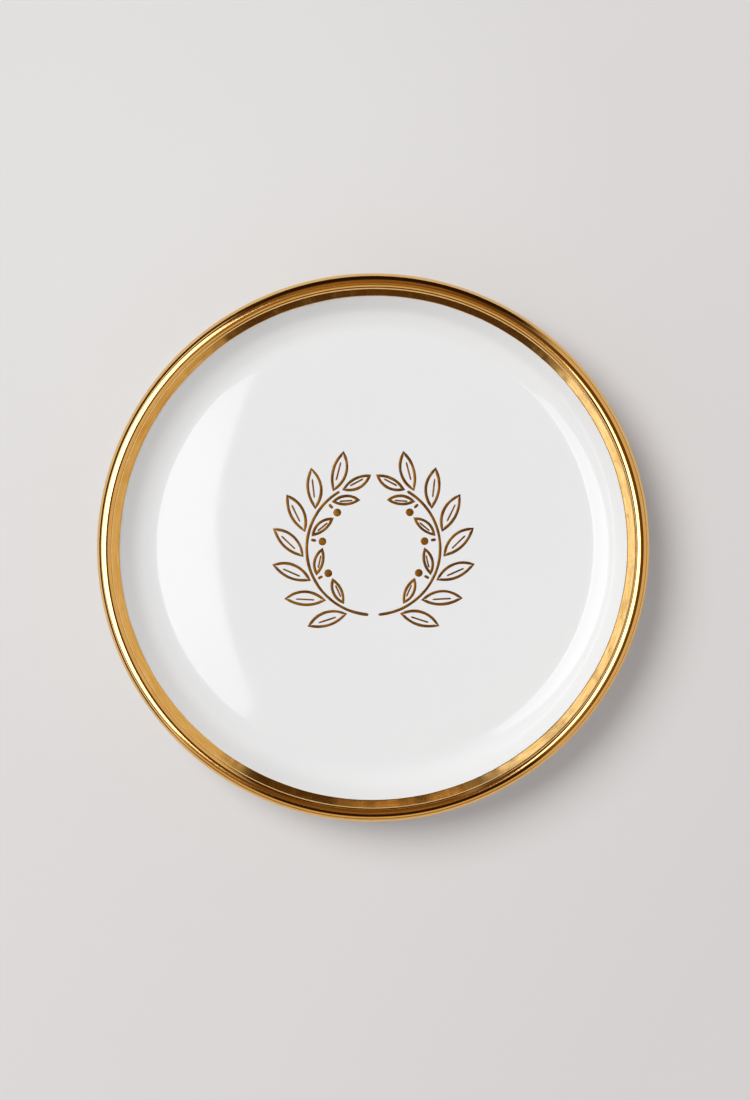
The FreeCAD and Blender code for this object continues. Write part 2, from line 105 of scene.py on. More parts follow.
def ripple(position, size, seed):
    """A smooth random value from about -1 to 1 at a place, for features of this size in metres."""
    return noise.noise(Vector(position) / size + Vector((seed, seed * SEED_SKEW, -seed)))


def ripples(position, layers):
    """Several ripples added up: each layer is a size, a seed and a share."""
    return sum(ripple(position, size, seed) * share for size, seed, share in layers)


def smooth_piece(name, vertices, faces, marks=None):
    """A smooth mesh in the scene. marks gives the number of each face's material."""
    mesh = bpy.data.meshes.new(name)
    mesh.from_pydata(vertices, [], faces)
    if marks:
        mesh.polygons.foreach_set("material_index", marks)
    mesh.polygons.foreach_set("use_smooth", [True] * len(faces))
    mesh.validate()
    mesh.update()
    piece = bpy.data.objects.new(name, mesh)
    scene.collection.objects.link(piece)
    return piece


def lathe(name, profile, segments, shift, closed=False, material_of=None):
    """A mesh turned round the Z axis. shift moves a point: it gets the index, the angle and the place."""
    vertices = []
    for index, (r, z) in enumerate(profile):
        for step in range(segments):
            angle = 2 * math.pi * step / segments
            place = shift(index, angle, r, z)
            vertices.append((place[0] * math.cos(angle), place[0] * math.sin(angle), place[1]))
    faces = []
    marks = []
    rings = len(profile)
    for ring in range(rings if closed else rings - 1):
        following = (ring + 1) % rings
        for step in range(segments):
            ahead = (step + 1) % segments
            faces.append((ring * segments + step, ring * segments + ahead,
                          following * segments + ahead, following * segments + step))
            marks.append(material_of(ring) if material_of else 0)
    return smooth_piece(name, vertices, faces, marks)


def fill_axis(piece, segments, rings):
    """Closes the small holes that the lathe leaves at the axis."""
    shell = bmesh.new()
    shell.from_mesh(piece.data)
    shell.verts.ensure_lookup_table()
    for ring in (0, rings - 1):
        shell.faces.new([shell.verts[ring * segments + step] for step in range(segments)])
    bmesh.ops.recalc_face_normals(shell, faces=shell.faces)
    shell.to_mesh(piece.data)
    shell.free()


# Node helpers.
def add_node(tree, kind, settings=None, **inputs):
    """A node with its settings, and its inputs by name, or by number as i0, i1 and so on: a number, a
    colour or another node's output."""
    node = tree.nodes.new(kind)
    for key, value in (settings or {}).items():
        setattr(node, key, value)
    for key, value in inputs.items():
        by_number = key[0] == "i" and key[1:].isdigit()
        socket = node.inputs[int(key[1:]) if by_number else key.replace("_", " ")]
        if isinstance(value, bpy.types.NodeSocket):
            tree.links.new(value, socket)
        else:
            socket.default_value = value
    return node


def math_node(tree, operation, a, b=0.0):
    """The output of a Math node."""
    return add_node(tree, "ShaderNodeMath", {"operation": operation}, i0=a, i1=b).outputs[0]


def remap(tree, value, low, high, new_low, new_high):
    """A value mapped from one range to another, and held inside the new one."""
    ends = {"i1": low, "i2": high, "i3": new_low, "i4": new_high}
    return add_node(tree, "ShaderNodeMapRange", {"clamp": True}, i0=value, **ends).outputs[0]


def blend_colours(tree, factor, a, b):
    """A mix of two colours."""
    return add_node(tree, "ShaderNodeMix", {"data_type": "RGBA"}, i0=factor, i6=a, i7=b).outputs[2]


def cloud(tree, vector, scale, detail=2.0, roughness=0.5):
    """Noise from 0 to 1 at a place."""
    looks = {"Scale": scale, "Detail": detail, "Roughness": roughness}
    return add_node(tree, "ShaderNodeTexNoise", None, Vector=vector, **looks).outputs[0]


def surface(name, **settings):
    """A new material, with its tree, its main shader and its object coordinates."""
    material = bpy.data.materials.new(name)
    material.use_nodes = True
    tree = material.node_tree
    shader = tree.nodes["Principled BSDF"]
    for key, value in settings.items():
        shader.inputs[key.replace("_", " ")].default_value = value
    place = tree.nodes.new("ShaderNodeTexCoord").outputs["Object"]
    return material, tree, shader, place


def bump(tree, shader, height, distance, under=None):
    """A bump of this depth in metres on the shader, over another bump if there is one."""
    node = add_node(tree, "ShaderNodeBump", None, Height=height, Distance=distance, Strength=1.0)
    if under:
        tree.links.new(under.outputs[0], node.inputs["Normal"])
    tree.links.new(node.outputs[0], shader.inputs["Normal"])
    return node


def round_the_axis(tree, place, around, across):
    """Coordinates for streaks that run round the dish: long along the rim, fine across it."""
    x, y, z = add_node(tree, "ShaderNodeSeparateXYZ", None, i0=place).outputs
    square = math_node(tree, "ADD", math_node(tree, "MULTIPLY", x, x), math_node(tree, "MULTIPLY", y, y))
    reach = math_node(tree, "SQRT", square)
    depth = math_node(tree, "MULTIPLY", math_node(tree, "SUBTRACT", reach, z), across)
    turn_x = math_node(tree, "MULTIPLY", math_node(tree, "DIVIDE", x, reach), around)
    turn_y = math_node(tree, "MULTIPLY", math_node(tree, "DIVIDE", y, reach), around)
    return add_node(tree, "ShaderNodeCombineXYZ", None, i0=turn_x, i1=turn_y, i2=depth).outputs[0]


# In the materials a scale is in features per metre, a depth in metres, and most noise lies in this span.
NOISE_SPAN = (0.3, 0.7)

# Glaze: clear gloss over white porcelain, faintly cloudy, with painted light low on the wall and painted
# shade above it.
MILK_SHADES = ((0.880, 0.883, 0.891, 1), (0.902, 0.902, 0.906, 1))
PAINTED_LIGHT_MILK = (0.907, 0.906, 0.908, 1)
PAINTED_SHADE_MILK = (0.870, 0.869, 0.868, 1)
PAINTED_LIGHT_HEIGHTS = (FLOOR + 0.05 * MM, FLOOR + 0.5 * MM)
PAINTED_SHADE_HEIGHTS = (FLOOR + 1.0 * MM, FLOOR + 2.8 * MM)
MILK_SCALE = 38.0
GLOSS_SCALE = 160.0
GLAZE_ROUGHNESS = (0.02, 0.045)
SWELL_SCALE = 90.0
SWELL_DEPTH = 4e-6
PEEL_SCALE = 900.0
PEEL_DEPTH = 6e-7
glaze, tree, shader, place = surface("glaze", Roughness=0.05, Specular_IOR_Level=0.4)
milk = blend_colours(tree, cloud(tree, place, MILK_SCALE), *MILK_SHADES)
height = add_node(tree, "ShaderNodeSeparateXYZ", None, i0=place).outputs[2]
# Painted light and shade in the glaze colour: lighter just above the floor, darker higher up the wall.
milk = blend_colours(tree, remap(tree, height, *PAINTED_LIGHT_HEIGHTS, 0.0, 1.0), milk, PAINTED_LIGHT_MILK)
milk = blend_colours(tree, remap(tree, height, *PAINTED_SHADE_HEIGHTS, 0.0, 1.0), milk, PAINTED_SHADE_MILK)
tree.links.new(milk, shader.inputs["Base Color"])
gloss = remap(tree, cloud(tree, place, GLOSS_SCALE), *NOISE_SPAN, *GLAZE_ROUGHNESS)
tree.links.new(gloss, shader.inputs["Roughness"])
swell = bump(tree, shader, cloud(tree, place, SWELL_SCALE, detail=1.0), SWELL_DEPTH)
bump(tree, shader, cloud(tree, place, PEEL_SCALE, detail=1.0), PEEL_DEPTH, under=swell)

# Biscuit: the bare ground ring of the foot, dry and slightly warm, with turning marks and a few dark specks.
CLAY_SHADES = ((0.70, 0.655, 0.59, 1), (0.80, 0.765, 0.71, 1))
SPECK_COLOUR = (0.26, 0.20, 0.15, 1)
SPECK_SCALE = 1500.0
SPECK_SPAN = (0.70, 0.76)
SPECK_SHARE = 0.55
GRAIN_SCALE = 4200.0
GRAIN_DEPTH = 2e-5
TURNING_AROUND = 5.0
TURNING_ACROSS = 6000.0
TURNING_DEPTH = 1.5e-5
biscuit, tree, shader, place = surface("biscuit", Roughness=0.8, Specular_IOR_Level=0.25)
turning = cloud(tree, round_the_axis(tree, place, TURNING_AROUND, TURNING_ACROSS), 1.0)
clay = blend_colours(tree, turning, *CLAY_SHADES)
specks = remap(tree, cloud(tree, place, SPECK_SCALE, detail=3.0), *SPECK_SPAN, 0.0, SPECK_SHARE)
tree.links.new(blend_colours(tree, specks, clay, SPECK_COLOUR), shader.inputs["Base Color"])
grain = bump(tree, shader, cloud(tree, place, GRAIN_SCALE, detail=3.0), GRAIN_DEPTH)
bump(tree, shader, turning, TURNING_DEPTH, under=grain)

# Gold: what the bright gold of the lip and the satin gold of the band share.
GOLD_GLINT = (1.0, 0.86, 0.62, 1)
LONG_AROUND = 9.0
LONG_ACROSS = 7000.0
LONG_SHARE = 0.6
FINE_AROUND = 26.0
FINE_ACROSS = 22000.0
TONE_SPAN = (0.34, 0.64)
WORN_COLOUR = (0.25, 0.10, 0.015, 1)
WORN_SPAN = (0.72, 0.80)
WORN_SHARE = 0.7
MATT_AROUND = 16.0
MATT_ACROSS = 1100.0
MATT_SPAN = (0.52, 0.68)
FLECK_SCALE = 1700.0
DIMPLE_DEPTH = 2.2e-6
WANDER_SCALE = 210.0
WANDER_DEPTH = 5e-6


def gold(name, bright, deep, smooth, rough, streak_depth, matt=None):
    """A fired gold: brush streaks round the rim in colour, gloss and relief, with small worn specks and
    dimples. matt is the roughness that matt patches add."""
    material, tree, shader, place = surface(name, Metallic=1.0, Specular_Tint=GOLD_GLINT)
    long_streaks = cloud(tree, round_the_axis(tree, place, LONG_AROUND, LONG_ACROSS), 1.0, 3.0, 0.6)
    fine_streaks = cloud(tree, round_the_axis(tree, place, FINE_AROUND, FINE_ACROSS), 1.0)
    streaks = math_node(tree, "ADD", math_node(tree, "MULTIPLY", long_streaks, LONG_SHARE),
                        math_node(tree, "MULTIPLY", fine_streaks, 1 - LONG_SHARE))
    tone = blend_colours(tree, remap(tree, streaks, *TONE_SPAN, 0.0, 1.0), deep, bright)
    worn = remap(tree, cloud(tree, place, FLECK_SCALE), *WORN_SPAN, 0.0, WORN_SHARE)
    tree.links.new(blend_colours(tree, worn, tone, WORN_COLOUR), shader.inputs["Base Color"])
    gloss = remap(tree, streaks, *NOISE_SPAN, rough, smooth)
    if matt:
        patches = cloud(tree, round_the_axis(tree, place, MATT_AROUND, MATT_ACROSS), 1.0, 3.0, 0.6)
        share = remap(tree, patches, *MATT_SPAN, 0.0, 1.0)
        gloss = math_node(tree, "ADD", gloss, math_node(tree, "MULTIPLY", share, matt))
    tree.links.new(gloss, shader.inputs["Roughness"])
    wander = bump(tree, shader, cloud(tree, place, WANDER_SCALE, detail=1.0), WANDER_DEPTH)
    dimples = bump(tree, shader, cloud(tree, place, FLECK_SCALE, detail=1.0), DIMPLE_DEPTH, under=wander)
    bump(tree, shader, streaks, streak_depth, under=dimples)
    return material


lustre = gold("gold_lustre", bright=(0.96, 0.66, 0.31, 1), deep=(0.86, 0.52, 0.18, 1),
              smooth=0.04, rough=0.10, streak_depth=1.0e-6)
satin = gold("gold_satin", bright=(0.96, 0.65, 0.28, 1), deep=(0.85, 0.51, 0.15, 1),
             smooth=0.09, rough=0.17, streak_depth=2.0e-6, matt=0.07)

# Print: brown gold, drawn with a pen, in darker and lighter patches.
INK_SHADES = ((0.130, 0.048, 0.002, 1), (0.27, 0.110, 0.006, 1))
INK_SCALE = 420.0
INK_SPAN = (0.35, 0.65)
INK_GLOSS_SCALE = 2600.0
INK_ROUGHNESS = (0.28, 0.44)
INK_GRAIN_SCALE = 3200.0
INK_GRAIN_DEPTH = 1.2e-5
ink, tree, shader, place = surface("gold_print", Metallic=0.7, Specular_IOR_Level=0.2)
patches = remap(tree, cloud(tree, place, INK_SCALE, detail=3.0), *INK_SPAN, 0.0, 1.0)
tree.links.new(blend_colours(tree, patches, *INK_SHADES), shader.inputs["Base Color"])
gloss = remap(tree, cloud(tree, place, INK_GLOSS_SCALE), *NOISE_SPAN, *INK_ROUGHNESS)
tree.links.new(gloss, shader.inputs["Roughness"])
bump(tree, shader, cloud(tree, place, INK_GRAIN_SCALE), INK_GRAIN_DEPTH)

# Porcelain body: floor, wall, lip under the gold, underside and foot ring.
AXIS_HOLE = 0.2 * MM
UNDER_GILT = 0.02 * MM
GLAZE_LINE = 0.85 * MM
BODY_UNEVEN = 0.012 * MM
BODY_WAVE = 0.022
BODY_SEED = 3.0
BODY_SEGMENTS = 360
FLOOR_STEPS = 44
FILLET_STEPS = 22
WALL_STEPS = 12
UNDER_GILT_STEPS = 28
CORNER_STEPS = 8
FOOT_SIDE_STEPS = 6
GROUND_STEPS = 8
LEDGE_STEPS = 6
BASE_STEPS = 30
INNER_EDGE = on_circle((LIP_X, LIP_Z), LIP_RADIUS - GILT, WALL_SLOPE + UP)
OUTER_EDGE = on_circle((LIP_X, LIP_Z), LIP_RADIUS - GILT, WALL_SLOPE + DOWN)


def level_end(edge, level, fillet):
    """Radius at which a level face passes into its fillet, so that the wall above ends at this edge."""
    return edge[0] - (edge[1] - level) / math.tan(WALL_SLOPE) - fillet * math.tan(WALL_SLOPE / 2)


floor_end = level_end(INNER_EDGE, FLOOR, WALL_FILLET)
base_end = level_end(OUTER_EDGE, BASE, BACK_FILLET)
foot_rise = BASE - FOOT_EDGE - FOOT_FLARE
foot_lean = foot_rise * math.tan(FOOT_DRAFT)
foot_inside = FOOT_RADIUS - FOOT_WIDTH
inside = joined(
    line((AXIS_HOLE, FLOOR), (floor_end, FLOOR), FLOOR_STEPS),
    arc((floor_end, FLOOR + WALL_FILLET), WALL_FILLET, DOWN, DOWN + WALL_SLOPE, FILLET_STEPS),
)
wall_up = line(inside[-1], INNER_EDGE, WALL_STEPS)
under_lip = arc((LIP_X, LIP_Z), LIP_RADIUS - GILT - UNDER_GILT, WALL_SLOPE + UP, WALL_SLOPE + DOWN,
                UNDER_GILT_STEPS)
back = arc((base_end, BASE + BACK_FILLET), BACK_FILLET, DOWN + WALL_SLOPE, DOWN, FILLET_STEPS)
wall_down = line(OUTER_EDGE, back[0], WALL_STEPS)


def foot_side(ground, way):
    """One side of the foot ring from the underside to the ground, rounded at its corners."""
    flare_top = ground + way * (foot_lean + FOOT_FLARE)
    flare = arc((flare_top, BASE - FOOT_FLARE), FOOT_FLARE, UP, UP + way * (UP - FOOT_DRAFT), CORNER_STEPS)
    edge_centre = (ground - way * FOOT_EDGE, FOOT_EDGE)
    level = 0 if way > 0 else math.pi
    downwards = DOWN if way > 0 else math.pi + UP
    edge = arc(edge_centre, FOOT_EDGE, level - way * FOOT_DRAFT, downwards, CORNER_STEPS)
    return joined(flare, line(flare[-1], edge[0], FOOT_SIDE_STEPS), edge)


outer_side = foot_side(FOOT_RADIUS, 1)
inner_side = list(reversed(foot_side(foot_inside, -1)))
under = joined(
    line(back[-1], outer_side[0], LEDGE_STEPS),
    outer_side,
    line(outer_side[-1], inner_side[0], GROUND_STEPS),
    inner_side,
    line(inner_side[-1], (AXIS_HOLE, BASE), BASE_STEPS),
)
profile = joined(inside, wall_up, under_lip, wall_down, back, under)


def body_shift(index, angle, r, z):
    """Slight unevenness of a cast and hand-finished body; the ground ring stays flat."""
    place = (r * math.cos(angle), r * math.sin(angle), z)
    lift = BODY_UNEVEN * ripple(place, BODY_WAVE, BODY_SEED) if z > BASE else 0.0
    return r, z + lift


def body_material(ring):
    """Bare clay on the ground ring, glaze elsewhere."""
    top = max(z for r, z in profile[ring:ring + 2])
    return 1 if top < GLAZE_LINE else 0


dish = lathe("dish_porcelain", profile, BODY_SEGMENTS, body_shift, material_of=body_material)
fill_axis(dish, BODY_SEGMENTS, len(profile))
dish.data.materials.append(glaze)
dish.data.materials.append(biscuit)
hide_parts("dish_body")
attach(dish, "root")

# Gilt lip: a roll of gold whose inner end tucks down to the thinner band, and its outer end to the glaze.
RIM_SEGMENTS = 540
BAND_TOP = 0.01 * MM
LIP_STEPS = 80
LIP_UNEVEN = 0.010 * MM
LIP_WAVE = 0.012
LIP_SEED = 5.0
HEIGHT_STRETCH = 6.0
CROWN_RUB = 0.020 * MM
CROWN_WIDTH = 0.30 * MM
BEAD_RADIUS = 1.0 * MM
BEAD_STEPS = 14
tuck_in = math.acos(1 - (GILT - BAND_TOP) / BEAD_RADIUS)
tuck_out = math.acos(1 - GILT / LIP_RADIUS)
lip_from = WALL_SLOPE + UP
lip_to = WALL_SLOPE + DOWN - tuck_out
bead_centre = on_circle((LIP_X, LIP_Z), LIP_RADIUS - BEAD_RADIUS, lip_from)
bead = arc(bead_centre, BEAD_RADIUS, lip_from + tuck_in, lip_from, BEAD_STEPS)
bead_under = on_circle(bead[0], GILT, lip_from + math.pi)
lip_profile = joined(
    bead,
    arc((LIP_X, LIP_Z), LIP_RADIUS, lip_from, lip_to, LIP_STEPS),
    arc((LIP_X, LIP_Z), LIP_RADIUS - GILT, lip_to, lip_from, LIP_STEPS),
    [bead_under],
)


def lip_shift(index, angle, r, z):
    """The crown is rubbed a little flat, and the gold lies uneven, but never outside its own film."""
    ring = (*on_circle((0, 0), RIM_RADIUS, angle), HEIGHT_STRETCH * z)
    dip = LIP_UNEVEN * (1 + ripple(ring, LIP_WAVE, LIP_SEED)) / 2
    if z > LIP_Z:
        dip += CROWN_RUB * math.exp(-((r - LIP_X) / CROWN_WIDTH) ** 2)
    out_r = (r - LIP_X) / LIP_RADIUS
    out_z = (z - LIP_Z) / LIP_RADIUS
    return r - out_r * dip, z - out_z * dip


gilt_lip = lathe("gilt_lip_film", lip_profile, RIM_SEGMENTS, lip_shift, closed=True)
gilt_lip.data.materials.append(lustre)
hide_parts("gilt_lip")
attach(gilt_lip, "root")

# Gilt band: gold brushed on the straight inner wall, thicker towards its wavering, rounded lower edge.
BAND_STEPS = 14
BAND_EDGE = 0.095 * MM
BAND_UNEVEN = 0.08 * MM
FILM_WAVES = ((0.0085, 13.0, 0.8), (0.0031, 14.0, 0.4), (0.0011, 15.0, 0.3))
FILM_LIMIT = 0.55
EDGE_STEPS = 6
EDGE_WAVER = 0.10 * MM
EDGE_WAVES = ((0.030, 11.0, 0.7), (0.006, 12.0, 0.3))
EDGE_ROUND = 0.10 * MM
band_width = (INNER_EDGE[1] - BAND_LOW) / math.sin(WALL_SLOPE)


def on_wall(down, out):
    """A point so far down the straight inner wall from the lip, and so far out from it."""
    return (INNER_EDGE[0] - down * math.cos(WALL_SLOPE) - out * math.sin(WALL_SLOPE),
            INNER_EDGE[1] - down * math.sin(WALL_SLOPE) + out * math.cos(WALL_SLOPE))


# The profile only counts the points, over the film and back under it: band_shift gives each its place.
band_profile = [on_wall(0, 0)] * 2 * (BAND_STEPS + EDGE_STEPS + 1)


def band_shift(index, angle, r, z):
    """Lays the film unevenly down the wall, pulls its lower edge up and down, and rounds that edge."""
    over = index < len(band_profile) // 2
    step = index if over else len(band_profile) - 1 - index
    ring = (*on_circle((0, 0), RIM_RADIUS, angle), 0.0)
    width = band_width - EDGE_WAVER * (1 + ripples(ring, EDGE_WAVES))
    straight = width - EDGE_ROUND
    patchy = max(-FILM_LIMIT, min(FILM_LIMIT, ripples(ring, FILM_WAVES)))
    edge = BAND_EDGE + BAND_UNEVEN * patchy
    if step < BAND_STEPS:
        share = step / BAND_STEPS
        down = straight * share
        film = BAND_TOP + (edge - BAND_TOP) * share
    else:
        turn = UP * (step - BAND_STEPS) / EDGE_STEPS
        down = straight + EDGE_ROUND * math.sin(turn)
        film = edge * math.cos(turn)
    return on_wall(down, film if over else -UNDER_GILT)


gilt_band = lathe("gilt_band_film", band_profile, RIM_SEGMENTS, band_shift, closed=True)
gilt_band.data.materials.append(satin)
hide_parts("gilt_inner_band")
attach(gilt_band, "root")

# Gold print: the strokes of the wreath, drawn along the lines of the CAD print. Rows are in degrees.
STROKE = 0.55 * MM
WREATH = 13.4 * MM
STEM_GAP = 0.45 * MM
CLEAR = STROKE / 2 + STEM_GAP
STEM_FOOT_GAP = 1.85 * MM
TIP_GAP = 1.0 * MM
LEAF_SIDES = (0.16, 0.22)
VEIN = (0.27, 0.73)
VEIN_WIDTH = 0.6
OUTER_ROW = {"first": -68.0, "pitch": 20.5, "count": 7, "lean": 40.0, "length": 36.0}
INNER_ROW = {"first": -62.0, "count": 4, "lean": 38.0, "length": 24.8}
TIP_LENGTH = math.radians(28.2) * WREATH
BERRY = math.radians(6.8) * WREATH
STALK = math.radians(4.7) * WREATH

# Section of a stroke: across as a share of its half width, up as a share of its rise.
PRINT_RISE = (PRINT_TOP - FLOOR) * 0.5
FULL_RISE = 0.35 * STROKE
SECTION = ((-1.0, 0.0), (-0.95, 0.60), (-0.80, 0.93), (0.0, 1.0),
           (0.80, 0.93), (0.95, 0.60), (1.0, 0.0))

# The pen: its mean width, how unevenly it presses, and how it strays from its line.
PEN_WIDTH = 1.02
PEN_PRESS = 0.16
PEN_WAVE = 0.0025
PEN_STRAY = 0.05 * MM
STRAY_WAVE = 0.004
STRAY_SEEDS = (21.0, 22.0)
THINNEST = 0.02 * MM
DOT_THINNEST = 0.03 * MM

# Steps along the strokes, and the seeds of the two sides and of what each side holds.
STEM_STEPS = 120
LEAF_STEPS = 22
LEAF_ENDS_CUT = 2
VEIN_STEPS = 14
STALK_STEPS = 8
DOT_STEPS = 12
SIDE_SEEDS = {"right": 38.0, "left": 24.0}
INNER_SEED = 10
TIP_SEED = 20
VEIN_SEED = 0.5


def pen(points, closed, seed):
    """Half widths of a stroke: a pen that presses unevenly, and round ends on an open stroke."""
    widths = []
    run = [0.0]
    for a, b in zip(points, points[1:]):
        run.append(run[-1] + math.dist(a, b))
    reach = STROKE / 2
    for index, (x, y) in enumerate(points):
        width = STROKE / 2 * (PEN_WIDTH + PEN_PRESS * ripple((x, y, seed * MM), PEN_WAVE, seed))
        from_end = min(run[index], run[-1] - run[index])
        if not closed and from_end < reach:
            width *= math.sqrt(max(0.0, 1 - (1 - from_end / reach) ** 2))
        widths.append(max(width, THINNEST))
    return widths


def ribbon(strokes):
    """Vertices and faces of domed pen strokes: each is points, whether it closes, and half widths."""
    vertices = []
    faces = []
    wide = len(SECTION)
    for points, closed, widths in strokes:
        count = len(points)
        start = len(vertices)
        for index, (x, y) in enumerate(points):
            before = points[index - 1] if closed or index else points[index]
            after = points[(index + 1) % count] if closed or index + 1 < count else points[index]
            along = Vector((after[0] - before[0], after[1] - before[1])).normalized()
            side = Vector((-along.y, along.x))
            half = widths[index]
            rise = PRINT_RISE * min(1.0, half / FULL_RISE)
            for across, up in SECTION:
                vertices.append((x + side.x * across * half, y + side.y * across * half, FLOOR + rise * up))
        for index in range(count if closed else count - 1):
            here = start + index * wide
            ahead = start + (index + 1) % count * wide
            for lane in range(wide - 1):
                faces.append((here + lane, ahead + lane, ahead + lane + 1, here + lane + 1))
            faces.append((ahead, here, here + wide - 1, ahead + wide - 1))
        if not closed:
            faces.append([start + lane for lane in reversed(range(wide))])
            faces.append([start + (count - 1) * wide + lane for lane in range(wide)])
    return vertices, faces


def print_piece(name, strokes):
    """A piece of the print, made of strokes."""
    piece = smooth_piece(name + "_ink", *ribbon(strokes))
    piece.data.materials.append(ink)
    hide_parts(name)
    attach(piece, "root")


def lens_side(length, bulge, side):
    """Points of one side of a leaf, from base to point, inset by half a stroke, without its two ends."""
    inset = STROKE / 2
    height = bulge * length
    radius = (length ** 2 / 4 + height ** 2) / (2 * height)
    centre = (length / 2, height - radius)
    half = math.asin(length / 2 / radius) - inset / radius
    points = arc(centre, radius - inset, UP + half, UP - half, LEAF_STEPS)
    return [(x, side * y) for x, y in points[LEAF_ENDS_CUT:-LEAF_ENDS_CUT]]


def leaf(length, full_side, seed):
    """Strokes of one leaf along +X: its outline and its midrib."""
    upper_bulge, lower_bulge = LEAF_SIDES if full_side < 0 else LEAF_SIDES[::-1]
    upper = lens_side(length, upper_bulge, 1)
    lower = lens_side(length, lower_bulge, -1)
    base = (STROKE / 2, 0.0)
    point = (length - STROKE / 2, 0.0)
    outline = [base] + upper + [point] + list(reversed(lower))
    vein = line((length * VEIN[0], 0.0), (length * VEIN[1], 0.0), VEIN_STEPS)
    return [
        (outline, True, pen(outline, True, seed)),
        (vein, False, [width * VEIN_WIDTH for width in pen(vein, False, seed + VEIN_SEED)]),
    ]


def placed(strokes, x, y, turn, side):
    """Strokes turned and moved to their place, and mirrored for the left stem."""
    moved = []
    for points, closed, widths in strokes:
        spots = []
        for px, py in points:
            qx = x + px * math.cos(turn) - py * math.sin(turn)
            qy = y + px * math.sin(turn) + py * math.cos(turn)
            qx += PEN_STRAY * ripple((qx, qy, 0), STRAY_WAVE, STRAY_SEEDS[0])
            qy += PEN_STRAY * ripple((qx, qy, 0), STRAY_WAVE, STRAY_SEEDS[1])
            spots.append((side * qx, qy))
        moved.append((spots, closed, widths))
    return moved


def berry(seed):
    """Strokes of a berry and its stalk along +X."""
    stalk = line((0.0, 0.0), (STALK, 0.0), STALK_STEPS)
    centre = STALK + STEM_GAP + BERRY / 2
    dot = line((centre - BERRY / 2, 0.0), (centre + BERRY / 2, 0.0), DOT_STEPS)
    halves = [math.sqrt(max(0.0, (BERRY / 2) ** 2 - (x - centre) ** 2)) for x, y in dot]
    return [
        (stalk, False, pen(stalk, False, seed)),
        (dot, False, [max(half, DOT_THINNEST) for half in halves]),
    ]


tip_far = math.hypot(WREATH, TIP_LENGTH)
tip_base = math.acos(TIP_GAP / 2 / tip_far) - math.atan(TIP_LENGTH / WREATH)
stem_end = tip_base - STEM_GAP / WREATH
stem_start = -math.acos(STEM_FOOT_GAP / 2 / (WREATH - STROKE / 2))
outer_base = WREATH + CLEAR
inner_base = WREATH - CLEAR
leaf_out = math.radians(OUTER_ROW["length"]) * WREATH
lean_out = math.radians(OUTER_ROW["lean"])
leaf_in = math.radians(INNER_ROW["length"]) * WREATH
lean_in = math.radians(INNER_ROW["lean"])
leaf_reach = math.atan(leaf_in * math.cos(lean_in) / (inner_base - leaf_in * math.sin(lean_in)))
berry_circle = inner_base - STALK - STEM_GAP - BERRY / 2
berry_turn = leaf_reach + (BERRY / 2 + STEM_GAP) / berry_circle
inner_pitch = berry_turn + CLEAR / inner_base

for side, word in ((1, "right"), (-1, "left")):
    seed = SIDE_SEEDS[word]
    stem_points = arc((0, 0), WREATH, stem_start, stem_end, STEM_STEPS)
    stem = [(stem_points, False, pen(stem_points, False, seed))]
    print_piece("print_stem_" + word, placed(stem, 0, 0, 0, side))

    outer_leaves = []
    for number in range(OUTER_ROW["count"]):
        angle = math.radians(OUTER_ROW["first"] + number * OUTER_ROW["pitch"])
        x, y = on_circle((0, 0), outer_base, angle)
        outer_leaves += placed(leaf(leaf_out, 1, seed + number), x, y, angle + UP - lean_out, side)
    print_piece("print_outer_leaves_" + word, outer_leaves)

    inner_leaves = []
    berries = []
    for number in range(INNER_ROW["count"]):
        angle = math.radians(INNER_ROW["first"]) + number * inner_pitch
        x, y = on_circle((0, 0), inner_base, angle)
        strokes = leaf(leaf_in, -1, seed + INNER_SEED + number)
        inner_leaves += placed(strokes, x, y, angle + UP + lean_in, side)
        if number + 1 < INNER_ROW["count"]:
            x, y = on_circle((0, 0), inner_base, angle + berry_turn)
            berries += placed(berry(seed + number), x, y, angle + berry_turn + math.pi, side)
    print_piece("print_inner_leaves_" + word, inner_leaves)
    print_piece("print_berries_" + word, berries)

    x, y = on_circle((0, 0), WREATH, tip_base)
    tip_leaf = leaf(TIP_LENGTH, 1, seed + TIP_SEED)
    print_piece("print_tip_leaf_" + word, placed(tip_leaf, x, y, tip_base + UP, side))


def flat_sheet(name, corners, material):
    """A sheet with one face between its corners."""
    mesh = bpy.data.meshes.new(name)
    mesh.from_pydata(corners, [], [tuple(range(len(corners)))])
    mesh.materials.append(material)
    sheet = bpy.data.objects.new(name, mesh)
    scene.collection.objects.link(sheet)
    return sheet


# Floor: a pale tabletop with painted light: lighter towards the key, and lightest beside the dish on that
# side.
TABLE_HALF = 7.0
PAINTED_FALLOFF_SHADES = ((0.812, 0.795, 0.789, 1), (0.722, 0.694, 0.689, 1))
PAINTED_BOUNCE_COLOUR = (0.845, 0.828, 0.821, 1)
SLANT = 0.57
SLANT_SPAN = (-0.12, 0.12)
BESIDE = (-0.045, 0.052, 0)
BESIDE_SPAN = (0.02, 0.10)
PAINTED_BOUNCE_SHARE = 0.85
table_finish, tree, shader, place = surface("tabletop", Roughness=0.7, Specular_IOR_Level=0.1)
x, y, z = add_node(tree, "ShaderNodeSeparateXYZ", None, i0=place).outputs
# Painted light falloff: the floor colour darkens away from the key, towards the lower right.
away = math_node(tree, "SUBTRACT", x, math_node(tree, "MULTIPLY", y, SLANT))
painted_falloff = blend_colours(tree, remap(tree, away, *SLANT_SPAN, 0.0, 1.0), *PAINTED_FALLOFF_SHADES)
